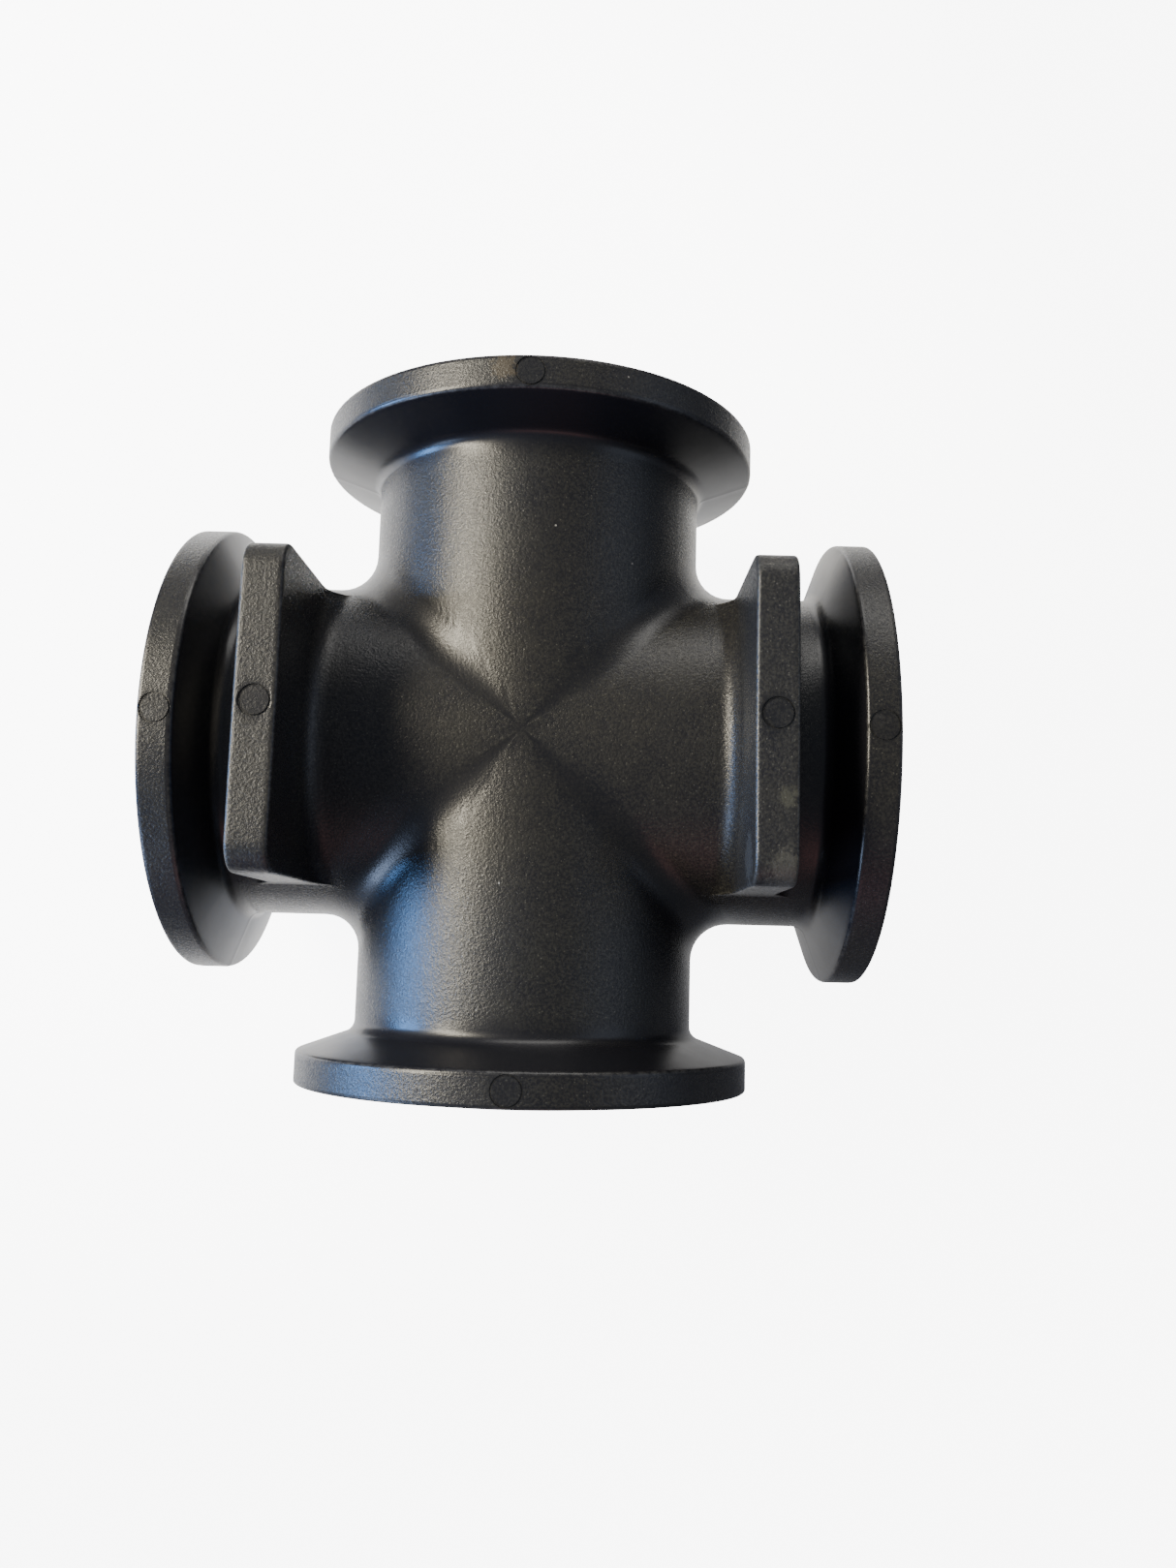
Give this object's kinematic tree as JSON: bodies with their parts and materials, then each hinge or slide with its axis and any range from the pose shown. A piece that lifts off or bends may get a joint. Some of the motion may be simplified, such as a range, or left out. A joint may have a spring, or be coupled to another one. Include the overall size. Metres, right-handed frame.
{
  "type": "cross fitting",
  "caption": "Moulded plastic plumbing cross: straight bores meet at right angles, with a tapered clamp flange and seal ring on each port and standing pads on two legs.",
  "frame": {"origin": "where the axes of the two straight passages cross, at mid-length of both", "axes": "+X and +Y along the port axes, +Z the way the two pads on the X legs stand up; the fitting lies on its four rims at z = -0.0415"},
  "size_m": [0.1254, 0.1254, 0.0909],
  "materials": {
    "black_plastic": "black glass-filled polypropylene, satin with a fine speckled grain, smoother and darker on the flange tapers and neck radii",
    "seal_rubber": "black moulded rubber, dull"
  },
  "bodies": {
    "root": {"body": "black_plastic", "seal_pos_x": "seal_rubber", "seal_neg_x": "seal_rubber", "seal_pos_y": "seal_rubber", "seal_neg_y": "seal_rubber"}
  },
  "joints": []
}
